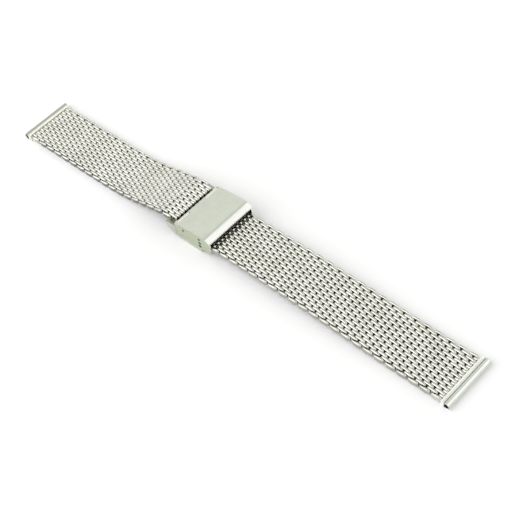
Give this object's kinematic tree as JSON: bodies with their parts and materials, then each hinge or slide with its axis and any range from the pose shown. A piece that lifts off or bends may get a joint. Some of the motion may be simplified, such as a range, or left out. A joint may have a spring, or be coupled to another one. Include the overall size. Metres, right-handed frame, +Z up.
{
  "type": "watch band",
  "caption": "Woven steel mesh watch band with a sliding clasp, folding cover, locking plate and tube lug ends, closed and lying flat.",
  "frame": {"origin": "bottom centre of the whole band's box: midway between the lug ends, midway across the width, on the table under the clasp", "axes": "+X along the band towards the lug end of the long side, +Y across the band, +Z up out of the clasp's cover"},
  "size_m": [0.1774, 0.0186, 0.0077],
  "materials": {
    "woven_steel": "polished flattened wire",
    "cover_steel": "satin with polished edge",
    "clasp_steel": "satin",
    "lug_steel": "polished",
    "pin_steel": "drawn bright"
  },
  "bodies": {
    "clasp": {"slider_body": "clasp_steel", "hook_bar": "pin_steel", "lock_pin": "pin_steel", "short_connector": "clasp_steel", "hinge_pin": "pin_steel", "short_mesh_00": "woven_steel"},
    "cover": {"clasp_cover": "cover_steel"},
    "lock": {"lock_plate": "clasp_steel"},
    "long_tail": {"long_mesh_00": "woven_steel", "tail_bar": "clasp_steel"},
    "short_link_01": {"short_mesh_01": "woven_steel"},
    "short_link_02": {"short_mesh_02": "woven_steel"},
    "short_link_03": {"short_mesh_03": "woven_steel"},
    "short_link_04": {"short_mesh_04": "woven_steel"},
    "short_link_05": {"short_mesh_05": "woven_steel"},
    "short_link_06": {"short_mesh_06": "woven_steel"},
    "short_link_07": {"short_mesh_07": "woven_steel"},
    "short_link_08": {"short_mesh_08": "woven_steel", "short_lug_end": "lug_steel"},
    "long_link_01": {"long_mesh_01": "woven_steel"},
    "long_link_02": {"long_mesh_02": "woven_steel"},
    "long_link_03": {"long_mesh_03": "woven_steel"},
    "long_link_04": {"long_mesh_04": "woven_steel"},
    "long_link_05": {"long_mesh_05": "woven_steel"},
    "long_link_06": {"long_mesh_06": "woven_steel"},
    "long_link_07": {"long_mesh_07": "woven_steel"},
    "long_link_08": {"long_mesh_08": "woven_steel"},
    "long_link_09": {"long_mesh_09": "woven_steel"},
    "long_link_10": {"long_mesh_10": "woven_steel", "long_lug_end": "lug_steel"}
  },
  "joints": [
    {"name": "cover_lift", "type": "hinge", "parent": "clasp", "child": "cover", "pos_m": [-0.01304, 0, 0.006], "axis": [0, -1, 0], "range_deg": [0, 100]},
    {"name": "lock_swing", "type": "hinge", "parent": "clasp", "child": "lock", "pos_m": [-0.00174, 0, 0.001], "axis": [0, -1, 0], "range_deg": [0, 90]},
    {"name": "size_slide", "type": "slide", "parent": "clasp", "child": "long_tail", "axis": [-1, 0, 0], "range_m": [0, 0.01]},
    {"name": "short_bend_01", "type": "hinge", "parent": "clasp", "child": "short_link_01", "pos_m": [-0.01994, 0, 0.006], "axis": [0, 1, 0], "range_deg": [-18, 18]},
    {"name": "short_bend_02", "type": "hinge", "parent": "short_link_01", "child": "short_link_02", "pos_m": [-0.02756, 0, 0.00435], "axis": [0, 1, 0], "range_deg": [-18, 18]},
    {"name": "short_bend_03", "type": "hinge", "parent": "short_link_02", "child": "short_link_03", "pos_m": [-0.03514, 0, 0.00251], "axis": [0, 1, 0], "range_deg": [-18, 18]},
    {"name": "short_bend_04", "type": "hinge", "parent": "short_link_03", "child": "short_link_04", "pos_m": [-0.04287, 0, 0.00144], "axis": [0, 1, 0], "range_deg": [-18, 18]},
    {"name": "short_bend_05", "type": "hinge", "parent": "short_link_04", "child": "short_link_05", "pos_m": [-0.05066, 0, 0.00115], "axis": [0, 1, 0], "range_deg": [-18, 18]},
    {"name": "short_bend_06", "type": "hinge", "parent": "short_link_05", "child": "short_link_06", "pos_m": [-0.05846, 0, 0.00115], "axis": [0, 1, 0], "range_deg": [-18, 18]},
    {"name": "short_bend_07", "type": "hinge", "parent": "short_link_06", "child": "short_link_07", "pos_m": [-0.06626, 0, 0.00115], "axis": [0, 1, 0], "range_deg": [-18, 18]},
    {"name": "short_bend_08", "type": "hinge", "parent": "short_link_07", "child": "short_link_08", "pos_m": [-0.07406, 0, 0.00115], "axis": [0, 1, 0], "range_deg": [-18, 18]},
    {"name": "long_bend_01", "type": "hinge", "parent": "long_tail", "child": "long_link_01", "pos_m": [0.00781, 0, 0.00345], "axis": [0, -1, 0], "range_deg": [-18, 0]},
    {"name": "long_bend_02", "type": "hinge", "parent": "long_link_01", "child": "long_link_02", "pos_m": [0.01561, 0, 0.00345], "axis": [0, -1, 0], "range_deg": [-18, 18]},
    {"name": "long_bend_03", "type": "hinge", "parent": "long_link_02", "child": "long_link_03", "pos_m": [0.02341, 0, 0.00336], "axis": [0, -1, 0], "range_deg": [-18, 18]},
    {"name": "long_bend_04", "type": "hinge", "parent": "long_link_03", "child": "long_link_04", "pos_m": [0.03121, 0, 0.00317], "axis": [0, -1, 0], "range_deg": [-18, 18]},
    {"name": "long_bend_05", "type": "hinge", "parent": "long_link_04", "child": "long_link_05", "pos_m": [0.039, 0, 0.00287], "axis": [0, -1, 0], "range_deg": [-18, 18]},
    {"name": "long_bend_06", "type": "hinge", "parent": "long_link_05", "child": "long_link_06", "pos_m": [0.04679, 0, 0.00248], "axis": [0, -1, 0], "range_deg": [-18, 18]},
    {"name": "long_bend_07", "type": "hinge", "parent": "long_link_06", "child": "long_link_07", "pos_m": [0.05458, 0, 0.00202], "axis": [0, -1, 0], "range_deg": [-18, 18]},
    {"name": "long_bend_08", "type": "hinge", "parent": "long_link_07", "child": "long_link_08", "pos_m": [0.06237, 0, 0.00161], "axis": [0, -1, 0], "range_deg": [-18, 18]},
    {"name": "long_bend_09", "type": "hinge", "parent": "long_link_08", "child": "long_link_09", "pos_m": [0.07016, 0, 0.00131], "axis": [0, -1, 0], "range_deg": [-18, 18]},
    {"name": "long_bend_10", "type": "hinge", "parent": "long_link_09", "child": "long_link_10", "pos_m": [0.07796, 0, 0.00115], "axis": [0, -1, 0], "range_deg": [-18, 18]}
  ]
}
